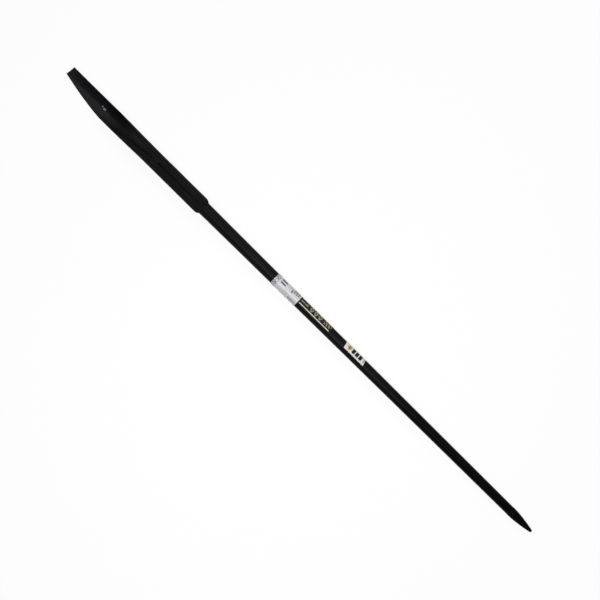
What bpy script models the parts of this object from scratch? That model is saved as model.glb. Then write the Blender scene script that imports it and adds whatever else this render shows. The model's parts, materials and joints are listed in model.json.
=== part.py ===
"""Long steel digging bar: a gouge blade rolled from plate, a tapered tube and a solid steel point.

Metres, +Z up. The bar lies on a flat surface with the blade's hollow side up, its tip towards -X and
its point towards +X. The origin is on that surface, below the middle of the bar's length.

Each piece is shaped along the bar's own axis: x is counted from the blade's tip, and an angle round
the bar is counted from straight down for the blade and from straight up for everything else,
towards +Y. One empty carries all the pieces and lays the bar down on its two resting places.
"""

import math

import bmesh
import bpy
from mathutils import Euler, Vector

# Whole bar
BAR_LENGTH = 1.500
FIT_GAP = 0.0003

# Handle: one steel tube, straight inside the socket and tapered from there to the point
TUBE_RADIUS_AT_SOCKET = 0.0160
TUBE_RADIUS_AT_POINT = 0.0111
TUBE_WALL = 0.0023
TUBE_TAPER_POWER = 0.77
TUBE_INSERTION = 0.130

# Blade: one plate, pressed to a gouge in front and rolled round the tube behind
PLATE_THICKNESS = 0.0045
PLATE_EDGE_ROUND = 0.0010
BLADE_LENGTH = 0.4345
TROUGH_HALF_WIDTH = 0.0224
TIP_SECTION_RADIUS = 0.038
FLATTENED_LENGTH = 0.150
SEAM_START = 0.285
SEAM_GAP = 0.0032
SWEPT_LENGTH = 0.130
SWEPT_TIP_OFFSET = 0.0020
SWEEP_POWER = 1.5
CUTTING_EDGE_THICKNESS = 0.0018
CUTTING_EDGE_LENGTH = 0.020

# Point: a solid ogive on a short straight base, with a spigot inside the tube's end
POINT_BASE_LENGTH = 0.007
POINT_TAPER_LENGTH = 0.056
POINT_NOSE_RADIUS = 0.0036
POINT_NOSE_LENGTH = 0.0026
POINT_FULLNESS = 1.38
SPIGOT_LENGTH = 0.035
SPIGOT_CHAMFER = 0.002

# Welds
SOCKET_WELD_LENGTH = 0.0085
SOCKET_WELD_CROWN = 0.0006
SOCKET_WELD_TOE = 0.0005
POINT_WELD_WIDTH = 0.0045
POINT_WELD_CROWN = 0.0005

# Labels: adhesive films on the tube, each placed from the one before it
LABEL_THICKNESS = 0.0003
SILVER_LABEL_SETBACK = 0.2275
SILVER_LABEL_LENGTH = 0.0770
DARK_LABEL_SPACING = 0.0020
DARK_LABEL_LENGTH = 0.0985
DARK_LABEL_ARC = (math.radians(-4), math.radians(96))
WHITE_LABEL_SPACING = 0.0465
WHITE_LABEL_LENGTH = 0.0620
WHITE_LABEL_ARC = (math.radians(-7), math.radians(88))
WHITE_LABEL_SLANT = 0.0035

# Shading and facets
SHARP_ANGLE = math.radians(35)
EDGE_ROUND_LIMIT = 0.4
BLADE_STATION_CROWDING = 1.15
TAPER_STATION_CROWDING = 1.3
STATION_CLEARANCE = 0.002
BLADE_FACETS = 35
ROUND_FACETS = 48
FRONT_STATIONS = 26
TAPER_STATIONS = 12
OGIVE_STATIONS = 10
NOSE_STATIONS = 4
CROWN_STATIONS = 5

# Sizes worked out from the ones above
SOCKET_INNER_RADIUS = TUBE_RADIUS_AT_SOCKET + FIT_GAP
SOCKET_RADIUS = SOCKET_INNER_RADIUS + PLATE_THICKNESS
SEAM_HALF_ANGLE = math.asin(SEAM_GAP / 2 / SOCKET_INNER_RADIUS)
TUBE_START = BLADE_LENGTH - TUBE_INSERTION
TAPER_START = BLADE_LENGTH + SOCKET_WELD_LENGTH
OGIVE_START = BAR_LENGTH - POINT_TAPER_LENGTH
POINT_START = OGIVE_START - POINT_BASE_LENGTH
NOSE_START = BAR_LENGTH - POINT_NOSE_LENGTH
TUBE_END = POINT_START - POINT_WELD_WIDTH
POINT_RADIUS = TUBE_RADIUS_AT_POINT
SPIGOT_RADIUS = TUBE_RADIUS_AT_POINT - TUBE_WALL - FIT_GAP
SILVER_LABEL_START = TAPER_START + SILVER_LABEL_SETBACK
DARK_LABEL_START = SILVER_LABEL_START + SILVER_LABEL_LENGTH + DARK_LABEL_SPACING
WHITE_LABEL_START = DARK_LABEL_START + DARK_LABEL_LENGTH + WHITE_LABEL_SPACING


def smooth_step(share):
    return share * share * (3 - 2 * share)


def clamp_share(value, low, high):
    return min(1.0, max(0.0, (value - low) / (high - low)))


def tube_radius(x):
    """Outer radius of the tube: constant in the socket, then falling faster at first."""
    share = clamp_share(x, TAPER_START, TUBE_END)
    fall = TUBE_RADIUS_AT_SOCKET - TUBE_RADIUS_AT_POINT
    return TUBE_RADIUS_AT_SOCKET - fall * share**TUBE_TAPER_POWER


def blade_radius(x):
    """Outer radius of the blade's section: flat at the tip, a half round, then the socket."""
    if x < FLATTENED_LENGTH:
        spread = (1 - x / FLATTENED_LENGTH) ** 2
        return TROUGH_HALF_WIDTH + (TIP_SECTION_RADIUS - TROUGH_HALF_WIDTH) * spread
    share = smooth_step(clamp_share(x, FLATTENED_LENGTH, SEAM_START))
    return TROUGH_HALF_WIDTH + (SOCKET_RADIUS - TROUGH_HALF_WIDTH) * share


def edge_angle(x):
    """Angle from straight down to the plate's straight edge, which rises until the seam closes."""
    if x < FLATTENED_LENGTH:
        return math.asin(TROUGH_HALF_WIDTH / blade_radius(x))
    closed = math.pi - SEAM_HALF_ANGLE
    share = clamp_share(x, FLATTENED_LENGTH, SEAM_START)
    start_slope = math.sqrt(2 * (TIP_SECTION_RADIUS / TROUGH_HALF_WIDTH - 1)) / FLATTENED_LENGTH
    lead_in = start_slope * (SEAM_START - FLATTENED_LENGTH) * share * (1 - share) ** 2
    return math.pi / 2 + lead_in + (closed - math.pi / 2) * smooth_step(share)


def swept_angle(x):
    """Angle to the other edge, which sweeps in to the middle at the tip."""
    angle = edge_angle(x)
    if x >= SWEPT_LENGTH:
        return angle
    inset = (TROUGH_HALF_WIDTH - SWEPT_TIP_OFFSET) * (1 - x / SWEPT_LENGTH) ** SWEEP_POWER
    reach = min(1.0, (TROUGH_HALF_WIDTH - inset) / blade_radius(x))
    return min(angle, math.asin(reach))


def plate_thickness(x):
    share = min(1.0, x / CUTTING_EDGE_LENGTH)
    return CUTTING_EDGE_THICKNESS + (PLATE_THICKNESS - CUTTING_EDGE_THICKNESS) * share


def blade_section(x):
    """Points of the plate's section at x, from the swept edge along the back and home inside."""
    outer = blade_radius(x)
    centre_height = outer - SOCKET_RADIUS
    thickness = plate_thickness(x)
    corner = min(PLATE_EDGE_ROUND, EDGE_ROUND_LIMIT * thickness)
    middle = outer - thickness / 2
    left, right = -swept_angle(x), edge_angle(x)

    def place(angle, depth):
        radius = outer - depth
        return Vector((x, radius * math.sin(angle), centre_height - radius * math.cos(angle)))

    cut = corner * (1 - math.sqrt(0.5))
    back = [place(left, corner), place(left + cut / middle, cut)]
    first, last = left + corner / middle, right - corner / middle
    for step in range(BLADE_FACETS + 1):
        back.append(place(first + (last - first) * step / BLADE_FACETS, 0))
    back += [place(right - cut / middle, cut), place(right, corner)]
    hollow = [place(right, thickness - corner), place(right - cut / middle, thickness - cut)]
    for step in range(BLADE_FACETS + 1):
        hollow.append(place(last + (first - last) * step / BLADE_FACETS, thickness))
    hollow += [place(left + cut / middle, thickness - cut), place(left, thickness - corner)]
    return back + hollow


def blade_stations():
    """Distances from the tip, closer together where the edge sweeps and where the plate thins."""
    shares = [(step / FRONT_STATIONS) ** BLADE_STATION_CROWDING for step in range(FRONT_STATIONS + 1)]
    front = [SEAM_START * share for share in shares]
    front = [x for x in front if abs(x - CUTTING_EDGE_LENGTH) > STATION_CLEARANCE]
    return sorted(front + [CUTTING_EDGE_LENGTH, BLADE_LENGTH])


def add_object(name, mesh, material):
    """Links a closed mesh to the scene, smooth except at its sharp edges."""
    bmesh.ops.recalc_face_normals(mesh, faces=mesh.faces)
    data = bpy.data.meshes.new(name)
    mesh.to_mesh(data)
    mesh.free()
    data.shade_smooth()
    data.set_sharp_from_angle(angle=SHARP_ANGLE)
    data.materials.append(material)
    obj = bpy.data.objects.new(name, data)
    bpy.context.scene.collection.objects.link(obj)
    return obj


def make_material(name, colour, roughness, metallic=0.0):
    material = bpy.data.materials.new(name)
    material.use_nodes = True
    shader = material.node_tree.nodes["Principled BSDF"]
    shader.inputs["Base Color"].default_value = (*colour, 1.0)
    shader.inputs["Roughness"].default_value = roughness
    shader.inputs["Metallic"].default_value = metallic
    return material


def turned(name, material, profile, arc=None, slant=0.0):
    """Turns a closed (x, radius) profile about the bar's axis, all round or over an arc.

    A profile that starts and ends on the axis makes a solid. A slant shifts the profile along the
    bar, by that much from the start of the arc to its end.
    """
    mesh = bmesh.new()
    if arc is None:
        count = ROUND_FACETS
        angles = [2 * math.pi * (step + 0.5) / count for step in range(count)]
    else:
        count = max(2, round(ROUND_FACETS * (arc[1] - arc[0]) / (2 * math.pi)))
        angles = [arc[0] + (arc[1] - arc[0]) * step / count for step in range(count + 1)]
    rings = []
    for x, radius in profile:
        if radius == 0:
            rings.append([mesh.verts.new((x, 0, 0))])
            continue
        ring = []
        for step, angle in enumerate(angles):
            shift = slant * step / count
            ring.append(mesh.verts.new((x + shift, radius * math.sin(angle), radius * math.cos(angle))))
        rings.append(ring)
    solid = len(rings[0]) == 1
    pairs = list(zip(rings, rings[1:])) if solid else list(zip(rings, rings[1:] + rings[:1]))
    for one, other in pairs:
        for step in range(len(angles) if arc is None else len(angles) - 1):
            after = (step + 1) % len(angles)
            if len(one) == 1:
                mesh.faces.new((one[0], other[step], other[after]))
            elif len(other) == 1:
                mesh.faces.new((one[step], other[0], one[after]))
            else:
                mesh.faces.new((one[step], other[step], other[after], one[after]))
    if arc is not None:
        mesh.faces.new([ring[0] for ring in rings])
        mesh.faces.new([ring[-1] for ring in rings])
    return add_object(name, mesh, material)


def make_blade(material):
    """Lofts the plate through its sections and closes both ends with strips of quads."""
    mesh = bmesh.new()
    rings = [[mesh.verts.new(point) for point in blade_section(x)] for x in blade_stations()]
    count = len(rings[0])
    for one, other in zip(rings, rings[1:]):
        for step in range(count):
            after = (step + 1) % count
            mesh.faces.new((one[step], other[step], other[after], one[after]))
    for ring in (rings[0], rings[-1]):
        for step in range(count // 2 - 1):
            mesh.faces.new((ring[step], ring[step + 1], ring[count - 2 - step], ring[count - 1 - step]))
    return add_object("blade", mesh, material)


def make_tube(material):
    stations = [TUBE_START, TAPER_START]
    for step in range(1, TAPER_STATIONS + 1):
        share = (step / TAPER_STATIONS) ** TAPER_STATION_CROWDING
        stations.append(TAPER_START + (TUBE_END - TAPER_START) * share)
    outside = [(x, tube_radius(x)) for x in stations]
    inside = [(x, tube_radius(x) - TUBE_WALL) for x in reversed(stations)]
    return turned("handle_tube", material, outside + inside)


def make_point(material):
    """Spigot, short straight base, ogive and rounded nose."""
    spigot_end = TUBE_END - SPIGOT_LENGTH
    profile = [
        (spigot_end, 0),
        (spigot_end, SPIGOT_RADIUS - SPIGOT_CHAMFER),
        (spigot_end + SPIGOT_CHAMFER, SPIGOT_RADIUS),
        (POINT_START, SPIGOT_RADIUS),
        (POINT_START, POINT_RADIUS),
    ]
    for step in range(OGIVE_STATIONS + 1):
        share = step / OGIVE_STATIONS
        fall = (POINT_RADIUS - POINT_NOSE_RADIUS) * share**POINT_FULLNESS
        profile.append((OGIVE_START + (NOSE_START - OGIVE_START) * share, POINT_RADIUS - fall))
    for step in range(1, NOSE_STATIONS):
        angle = math.pi / 2 * step / NOSE_STATIONS
        x = NOSE_START + POINT_NOSE_LENGTH * math.sin(angle)
        profile.append((x, POINT_NOSE_RADIUS * math.cos(angle)))
    profile.append((BAR_LENGTH, 0))
    return turned("point", material, profile)


def make_socket_weld(material):
    """Fillet between the socket's end and the tube. It stops at both sides of the open seam."""
    start = BLADE_LENGTH + FIT_GAP
    foot = TUBE_RADIUS_AT_SOCKET + FIT_GAP
    shoulder = SOCKET_RADIUS - SOCKET_WELD_TOE
    height = shoulder - foot
    length = SOCKET_WELD_LENGTH - FIT_GAP
    profile = [(start, foot)]
    for step in range(CROWN_STATIONS + 1):
        share = step / CROWN_STATIONS
        crown = SOCKET_WELD_CROWN * math.sin(math.pi * share)
        radius = shoulder - (height - SOCKET_WELD_TOE) * share + crown
        profile.append((start + length * share, radius))
    profile.append((start + length, foot))
    arc = (SEAM_HALF_ANGLE, 2 * math.pi - SEAM_HALF_ANGLE)
    return turned("socket_weld", material, profile, arc)


def make_point_weld(material):
    """Bead in the groove between the tube's end and the point's base, round the spigot."""
    start, end = TUBE_END + FIT_GAP, POINT_START - FIT_GAP
    profile = [(start, SPIGOT_RADIUS + FIT_GAP)]
    for step in range(CROWN_STATIONS + 1):
        share = step / CROWN_STATIONS
        crown = POINT_WELD_CROWN * math.sin(math.pi * share)
        profile.append((start + (end - start) * share, POINT_RADIUS + crown))
    profile.append((end, SPIGOT_RADIUS + FIT_GAP))
    return turned("point_weld", material, profile)


def make_label(name, material, start, length, arc=None, slant=0.0):
    """Film that follows the tube's taper, on its whole girth or on an arc of it."""
    end = start + length
    inner_start = tube_radius(start) + FIT_GAP
    inner_end = tube_radius(end) + FIT_GAP
    profile = [
        (start, inner_start),
        (start, inner_start + LABEL_THICKNESS),
        (end, inner_end + LABEL_THICKNESS),
        (end, inner_end),
    ]
    return turned(name, material, profile, arc, slant)


def flat_radius(radius, facets_per_turn):
    """Distance from the axis to the middle of a facet, which is what a faceted round rests on."""
    return radius * math.cos(math.pi / facets_per_turn)


def lay_down(pieces):
    """Hangs the pieces on an empty, tilted so that the socket's end and the point's weld touch down."""
    blade_arc = 2 * (math.pi - SEAM_HALF_ANGLE)
    socket_drop = flat_radius(SOCKET_RADIUS, BLADE_FACETS * 2 * math.pi / blade_arc)
    weld_x = (TUBE_END + POINT_START) / 2
    weld_drop = flat_radius(POINT_RADIUS + POINT_WELD_CROWN, ROUND_FACETS)
    slope = math.atan((socket_drop - weld_drop) / (weld_x - BLADE_LENGTH))
    turn = Euler((0, slope, 0))
    touch = turn.to_matrix() @ Vector((BLADE_LENGTH, 0, -socket_drop))
    middle = turn.to_matrix() @ Vector((BAR_LENGTH / 2, 0, 0))
    empty = bpy.data.objects.new("lying_bar", None)
    empty.rotation_euler = turn
    empty.location = (-middle.x, 0, -touch.z)
    bpy.context.scene.collection.objects.link(empty)
    for piece in pieces:
        piece.parent = empty


def main():
    for obj in list(bpy.data.objects):
        bpy.data.objects.remove(obj)
    blade_coating = make_material("blade_coating", (0.014, 0.014, 0.018), 0.55)
    tube_coating = make_material("tube_coating", (0.012, 0.012, 0.014), 0.45)
    point_coating = make_material("point_coating", (0.010, 0.010, 0.011), 0.5)
    socket_weld_coating = make_material("socket_weld_coating", (0.011, 0.011, 0.012), 0.6)
    point_weld_coating = make_material("point_weld_coating", (0.010, 0.010, 0.011), 0.6)
    silver_film = make_material("silver_film", (0.62, 0.63, 0.65), 0.35, 0.2)
    dark_film = make_material("dark_film", (0.010, 0.010, 0.010), 0.3)
    white_film = make_material("white_film", (0.82, 0.81, 0.77), 0.4)
    pieces = [
        make_blade(blade_coating),
        make_tube(tube_coating),
        make_point(point_coating),
        make_socket_weld(socket_weld_coating),
        make_point_weld(point_weld_coating),
        make_label("silver_label", silver_film, SILVER_LABEL_START, SILVER_LABEL_LENGTH),
        make_label("dark_label", dark_film, DARK_LABEL_START, DARK_LABEL_LENGTH, DARK_LABEL_ARC),
        make_label(
            "white_label",
            white_film,
            WHITE_LABEL_START,
            WHITE_LABEL_LENGTH,
            WHITE_LABEL_ARC,
            -WHITE_LABEL_SLANT,
        ),
    ]
    lay_down(pieces)


main()
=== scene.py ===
"""Visible model of a long black digging bar on a pale studio floor.

The blade is a smoothed copy of its solid. Every other piece is shaped along the bar's own level axis,
counted in metres from the blade's tip, and is then laid on the floor in the place of its solid. An
angle round the bar is counted from straight up, towards +Y.
"""

import json
from collections import namedtuple
from functools import partialmethod, reduce
from math import asin, atan2, cos, hypot, pi, radians, sin

import bmesh
import bpy
from mathutils import Matrix, Vector


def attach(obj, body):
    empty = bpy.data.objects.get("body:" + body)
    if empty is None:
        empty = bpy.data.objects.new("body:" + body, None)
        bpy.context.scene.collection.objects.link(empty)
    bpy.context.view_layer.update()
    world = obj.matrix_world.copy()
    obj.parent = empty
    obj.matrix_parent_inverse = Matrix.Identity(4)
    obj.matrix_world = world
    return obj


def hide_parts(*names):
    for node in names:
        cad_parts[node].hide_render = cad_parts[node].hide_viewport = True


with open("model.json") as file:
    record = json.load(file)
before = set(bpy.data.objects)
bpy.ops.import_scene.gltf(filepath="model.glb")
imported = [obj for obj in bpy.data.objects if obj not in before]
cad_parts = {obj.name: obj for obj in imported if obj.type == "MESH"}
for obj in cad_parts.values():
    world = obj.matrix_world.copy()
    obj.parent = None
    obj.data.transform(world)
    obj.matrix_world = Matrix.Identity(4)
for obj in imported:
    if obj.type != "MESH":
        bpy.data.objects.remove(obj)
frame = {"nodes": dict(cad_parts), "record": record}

bl_info = {
    "name": "Digging bar",
    "version": (1, 0, 0),
    "blender": (4, 5, 0),
    "location": "3D View > Sidebar > Digging bar",
    "description": "Models a steel digging bar with a gouge blade, its labels and a plain studio",
    "category": "Object",
}

BODY = "root"
FLOAT, VECTOR, COLOUR = "NodeSocketFloat", "NodeSocketVector", "NodeSocketColor"

# Blade: cleaning the copied mesh, cuts that hold its ends and its seam, and the forging's unevenness
MERGE_DISTANCE = 0.000002
END_FACE_DEPTH = 0.00001
CRISP_END = 0.0006
SEAM_CUT_START, SEAM_CUT_PITCH, SEAM_CUTS = 0.295, 0.010, 14
DENT_SIZE, DENT_DEPTH = 0.035, 0.00035

# Tube: sides, stations that crowd where it tapers fastest, rings near its ends and its rounded rims
GAP = 0.0003
TUBE_SIDES = 96
TAPER_POWER = 0.77
SOCKET_STATIONS, TAPER_STATIONS, TAPER_CROWDING = 4, 22, 1.3
END_RINGS = (0.001, 0.003)
TUBE_RIM = 0.00035

# Point: the spigot inside the tube, the full taper and the round nose
SPIGOT_LENGTH, SPIGOT_BEVEL, SPIGOT_CORE = 0.035, 0.002, 0.4
BASE_BEVEL = 0.0003
POINT_TAPER, POINT_FULLNESS, TAPER_STEPS = 0.056, 1.38, 18
NOSE_LENGTH, NOSE_RADIUS, NOSE_END_RADIUS, NOSE_STEPS = 0.0026, 0.0036, 0.000072, 8

# Welds: the fillet behind the socket and the bead at the point, and the lifts of their ripples
WELD_SIDES = 216
FILLET_DROP, FILLET_TOE, FILLET_CROWN = 0.0007, 0.0005, 0.0004
FILLET_STEPS, FILLET_SMOOTHING = 10, 0.3
FILLET_RIPPLE = {"ripples": 42, "height": 0.0003, "lag": 1.7}
BEAD_CROWN, BEAD_EDGE, BEAD_STEPS = 0.00032, 0.0002, 8
BEAD_RIPPLE = {"ripples": 30, "height": 0.00014, "lag": 1.5}
RIPPLE_LIFTS = (-0.45, 0.1, 0.6)

# Labels: start and length along the bar, arc round it in degrees and slant of the ends
SILVER_LABEL = {"start": 0.6718, "length": 0.0754}
DARK_LABEL = {"start": 0.7495, "length": 0.0985, "arc": (-4, 96)}
WHITE_LABEL = {"start": 0.8953, "length": 0.0607, "arc": (-7, 88), "slant": -0.0035}
LABEL_SIDES, LABEL_STEPS = 144, 24
FILM_THICKNESS, FILM_RIM = 0.00016, 0.00005

# Printed marks: what their numbers stand for, mostly metres along and round the bar, then the marks
SPAN = {"From": 0.0, "To": 0.0}
MARKS = {
    "ink_block": {**SPAN, "Low": 0.0, "High": 0.0},
    "ink_row": {**SPAN, "Low": 0.0, "High": 0.0, "Pitch": 0.01, "Fill": 0.5, "Lean": 0.0},
    "ink_lozenges": {**SPAN, "Middle": 0.0, "Half Height": 0.004, "Pitch": 0.01, "Fill": 1.0},
}
SILVER_BARS = ((0.6874, 0.7028, 0.0107, 0.0143), (0.6874, 0.7028, 0.0037, 0.0065))
SILVER_RULES = (
    (0.7045, 0.7440, -0.0056, -0.0042),
    (0.6880, 0.7440, -0.0088, -0.0078),
    (0.6880, 0.7300, -0.0130, -0.0120),
    (0.7060, 0.7240, 0.0112, 0.0124),
    (0.6880, 0.7440, 0.0240, 0.0250),
    (0.6880, 0.7440, -0.0260, -0.0250),
    (0.6880, 0.7300, -0.0330, -0.0320),
)
SILVER_ROWS = (
    (0.7265, 0.7440, 0.0115, 0.0163, 0.0060, 0.74),
    (0.7265, 0.7440, 0.0066, 0.0100, 0.0060, 0.74),
    (0.7265, 0.7440, 0.0178, 0.0208, 0.0060, 0.74),
    (0.7200, 0.7240, 0.0030, 0.0100, 0.0100, 0.4),
    (0.7220, 0.7440, -0.0125, -0.0095, 0.0062, 0.7),
)
SQUARE, SQUARES_START, SQUARES_LENGTH = 0.0026, 0.6722, 0.0096
SQUARE_ROWS, EMPTY_EVERY = 17, 5
DARK_DIAMONDS = (0.7775, 0.8174, 0.0100, 0.0095, 0.0133)
DIAMOND_FILL, DIAMOND_CORE = 0.90, 0.32
DARK_ROWS = (
    (0.7510, 0.7752, 0.0064, 0.0102, 0.0121, 0.82),
    (0.8235, 0.8450, 0.0045, 0.0140, 0.0075, 0.55, 0.5),
)
DARK_RIM_SQUARES = (0.7510, 0.8450, 0.0166, 0.0212, 0.0061, 0.76)
DARK_RULE = (0.7500, 0.8450, -0.0009, 0.0011)
DARK_TICK = (0.8190, 0.8215, 0.0075, 0.0105)
WHITE_DIAMOND = (0.8988, 0.9138, 0.0090, 0.0095, 0.0150)
WHITE_CORE = 0.42
WHITE_BLOCKS = (0.9148, 0.9463, 0.0026, 0.0160, 0.0105, 0.80)
WHITE_RULES = ((0.9150, 0.9530, 0.0008, 0.0014), (0.9485, 0.9535, 0.0030, 0.0150))

# Places along the bar between which one finish passes into the next
FRONT_TO_TROUGH = (0.09, 0.14)
TROUGH_TO_MOUTH = (0.18, 0.26)
MOUTH_TO_SOCKET = (0.25, 0.30)
TIP_WEAR = (0.012, 0.040)
# The painted light on the swept half of the trough fades out over this stretch
SWEPT_PAINTED_LIGHT_FADE = (0.12, 0.20)
# The tube is drawn darker from here on, partly as its coating's tone and partly as painted shade where the
# light falls off
THICK_TO_THIN_HALF = (0.95, 1.12)
NOSE_WEAR = (1.47, 1.50)

# Rubs on the floor of the trough, drawn bright as a painted highlight: place along the bar, offset, half
# length and half width
RUBS_WITH_GLINT = ((0.1134, 0.0031, 0.0024, 0.0017), (0.1209, 0.0017, 0.0042, 0.0023))

# Shades that wear, soil, print, painted light and painted shade mix into the colours that the panel offers
BLUISH_BLACK = (0.0070, 0.0070, 0.0090)
TROUGH_BLACK = (0.0052, 0.0052, 0.0056)
# Painted light: the inside of the blade is drawn lighter towards the socket's mouth and deeper in, lifting
# the shade in the hollow
MOUTH_PAINTED_LIGHT_GREY = (0.036, 0.036, 0.036)
SOCKET_PAINTED_LIGHT_GREY = (0.075, 0.075, 0.075)
TIP_GREY = (0.0130, 0.0130, 0.0150)
# Painted light: the swept half of the trough is drawn lighter, for the light that falls on that wall
SWEPT_PAINTED_LIGHT_GREY = (0.0180, 0.0180, 0.0210)
# Painted highlight: the rubs in the trough are drawn bright to stand for a glint
SCRAPED_GLINT_GREY = (0.10, 0.10, 0.11)
# Painted shade: the tube is drawn darker where it lies inside the socket
SOCKET_PAINTED_SHADE_BLACK = (0.0040, 0.0040, 0.0040)
NOSE_BLACK = (0.0045, 0.0045, 0.0047)
PINHOLE_BLACK = (0.002, 0.002, 0.002)
FILLET_SHADES = ((0.0066, 0.0066, 0.0069), (0.0034, 0.0034, 0.0036))
# The bead's shades are as dark as the far black and carry its painted shade
BEAD_SHADES = ((0.0016, 0.0016, 0.0017), (0.0008, 0.0008, 0.0009))
HANDLING_SOIL = (0.16, 0.15, 0.14)
SILVER_CLOUD = (0.54, 0.54, 0.57)
RULE_GREY = (0.26, 0.26, 0.29)
MARK_GREY = (0.08, 0.08, 0.09)
BAR_BLACK = (0.02, 0.02, 0.025)
GOLD_CLOUD = (0.25, 0.225, 0.14)
RIM_CREAM = (0.72, 0.69, 0.56)
RULE_CREAM = (0.58, 0.57, 0.51)
TICK_RED = (0.16, 0.022, 0.015)
WHITE_CLOUD = (0.60, 0.585, 0.55)
BRIGHT_GOLD = (0.42, 0.34, 0.14)
CORE_BROWN = (0.11, 0.08, 0.035)
WHITE_RULE_GREY = (0.20, 0.20, 0.21)
FLOOR_SHADES = ((0.86, 0.86, 0.86), (0.88, 0.88, 0.88))
FLOOR_GLOW = 0.9

# Coatings: roughness, grain, slow changes of shade, relief in metres, wear, scuffs and shine
Coat = namedtuple("Coat", "roughness grain mottle relief wear scuffs specular")
BLADE_COAT = Coat(0.62, 0.5, 0.55, 0.00025, 0.12, 0.09, 0.030)
TUBE_COAT = Coat(0.34, 0.75, 0.4, 0.00022, 0.08, 0.10, 0.036)
POINT_COAT = Coat(0.45, 0.7, 0.4, 0.00022, 0.06, 0.08, 0.030)
WELD_COAT = Coat(0.65, 0.5, 0.6, 0.0003, 0.06, 0.0, 0.036)

# Studio: lamps, the camera's aim, and the floor's drop, raised rim and wall
OVERHEAD_LAMP = {"place": (0.11, -0.33, 1.65), "size": (0.6, 0.85)}
SIDE_LAMP = {"place": (-0.35, 2.2, 2.6), "size": (2.6, 1.5)}
CAMERA_X, CAMERA_Y = -0.0017, 0.0052
FLOOR_SIDES, FLOOR_DROP = 96, 0.0002
RIM_BEND, RIM_STEPS, RIM_WALL = 1.5, 8, 1.6


def number(name, default, description, **kind):
    """A number that the panel offers, with its unit or subtype where one fits."""
    return bpy.props.FloatProperty(name=name, default=default, description=description, **kind)


def metres(name, default, description):
    """A length that the panel offers."""
    return number(name, default, description, unit="LENGTH")


def colour(name, default, description):
    """A colour that the panel offers."""
    return bpy.props.FloatVectorProperty(
        name=name, default=default, description=description, subtype="COLOR"
    )


class BarSizes(bpy.types.PropertyGroup):
    """Lengths and radii of the bar, counted along its own axis from the blade's tip"""

    bar_length: metres("Bar length", 1.5, "From the blade's tip to the end of the point")
    blade_length: metres("Blade length", 0.4345, "From the tip to the rear end of the rolled socket")
    tip_lean: number(
        "Tip lean", radians(10), "How far the tip's end is set back on the straight side", subtype="ANGLE"
    )
    swept_corner: metres("Swept corner", -0.0020, "Where the tip's foremost corner lies across the bar")
    socket_radius: metres("Socket radius", 0.0208, "Outside of the plate where it is rolled round the tube")
    seam_gap: metres("Seam gap", 0.0032, "Width of the open seam on top of the socket")
    tube_start: metres("Tube start", 0.3045, "Where the tube's front end sits inside the socket")
    tube_end: metres("Tube end", 1.4325, "Where the tube meets the bead of the point")
    thick_radius: metres("Thick radius", 0.0160, "Outside of the tube in the socket")
    thin_radius: metres("Thin radius", 0.0111, "Outside of the tube at the point")
    tube_wall: metres("Tube wall", 0.0023, "Thickness of the tube's wall")
    weld_length: metres("Socket weld length", 0.0085, "Length of the fillet behind the socket")
    point_start: metres("Point start", 1.437, "Where the point's straight base begins")
    axis_height: metres("Axis height", 0.024694, "Height of the bar's axis above the floor at the tip")


class BarFinishes(bpy.types.PropertyGroup):
    """Colours of the coatings, films and inks"""

    blade_black: colour("Blade black", (0.0070, 0.0070, 0.0074), "Coating on the blade")
    tube_black: colour("Tube black", (0.0052, 0.0052, 0.0053), "Coating on the tube's thick half")
    # Darker than the tube's black, partly as painted shade for the light that falls off along the thin half
    far_black_and_shade: colour("Far black", (0.0016, 0.0016, 0.0017), "Coating on the tube's thin half and the point")
    bare_steel: colour("Bare steel", (0.30, 0.30, 0.32), "Steel where the coating is rubbed through")
    silver: colour("Silver film", (0.49, 0.49, 0.52), "Ground of the wrap-round label")
    white: colour("White film", (0.66, 0.645, 0.60), "Ground of the white label")
    gold: colour("Dull gold ink", (0.20, 0.18, 0.10), "Diamonds and bars on the dark label")
    ink: colour("Black ink", (0.0045, 0.0045, 0.0045), "Ground of the dark label, blocks on the white one")


class StudioSettings(bpy.types.PropertyGroup):
    """Camera, lamps and floor of the studio"""

    lens: number("Lens", 100.0, "Focal length of the camera in millimetres", unit="CAMERA")
    camera_height: metres("Camera height", 3.8377, "Height of the camera, which looks straight down")
    camera_turn: number(
        "Camera turn", radians(44.645), "Lays the bar corner to corner in the picture", subtype="ANGLE"
    )
    overhead_power: number("Overhead lamp", 22.0, "Power of the soft lamp above the bar", unit="POWER")
    side_power: number("Side lamp", 44.0, "Power of the lamp on the straight side", unit="POWER")
    room_light: number("Room light", 0.16, "Strength of the even light from all round")
    floor_radius: metres("Floor radius", 6.0, "From the bar to the foot of the floor's raised rim")


# Selecting and placing


def bar_sizes():
    return bpy.context.scene.digging_bar_sizes


def chosen(name):
    return tuple(getattr(bpy.context.scene.digging_bar_finishes, name))


def deselect_all():
    if bpy.context.mode != "OBJECT":
        bpy.ops.object.mode_set(mode="OBJECT")
    bpy.ops.object.select_all(action="DESELECT")


def make_active(obj):
    deselect_all()
    obj.select_set(True)
    bpy.context.view_layer.objects.active = obj


def select_where(obj, wanted, kind="VERT"):
    """Selects, in edit mode, the vertices or the faces whose place, or middle, the test wants."""
    bpy.ops.mesh.select_mode(type=kind)
    bpy.ops.mesh.select_all(action="DESELECT")
    mesh = bmesh.from_edit_mesh(obj.data)
    if kind == "VERT":
        for vertex in mesh.verts:
            vertex.select = wanted(vertex.co)
    else:
        for face in mesh.faces:
            face.select = wanted(face.calc_center_median())
    mesh.select_flush(True)
    bmesh.update_edit_mesh(obj.data)


def face_all(inside=False):
    """Turns all faces of the mesh in edit mode the same way, outwards unless told otherwise."""
    bpy.ops.mesh.select_all(action="SELECT")
    bpy.ops.mesh.normals_make_consistent(inside=inside)


def turn_of(place):
    """Angle round the bar, from straight up towards +Y."""
    return atan2(place.y, place.z)


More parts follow.
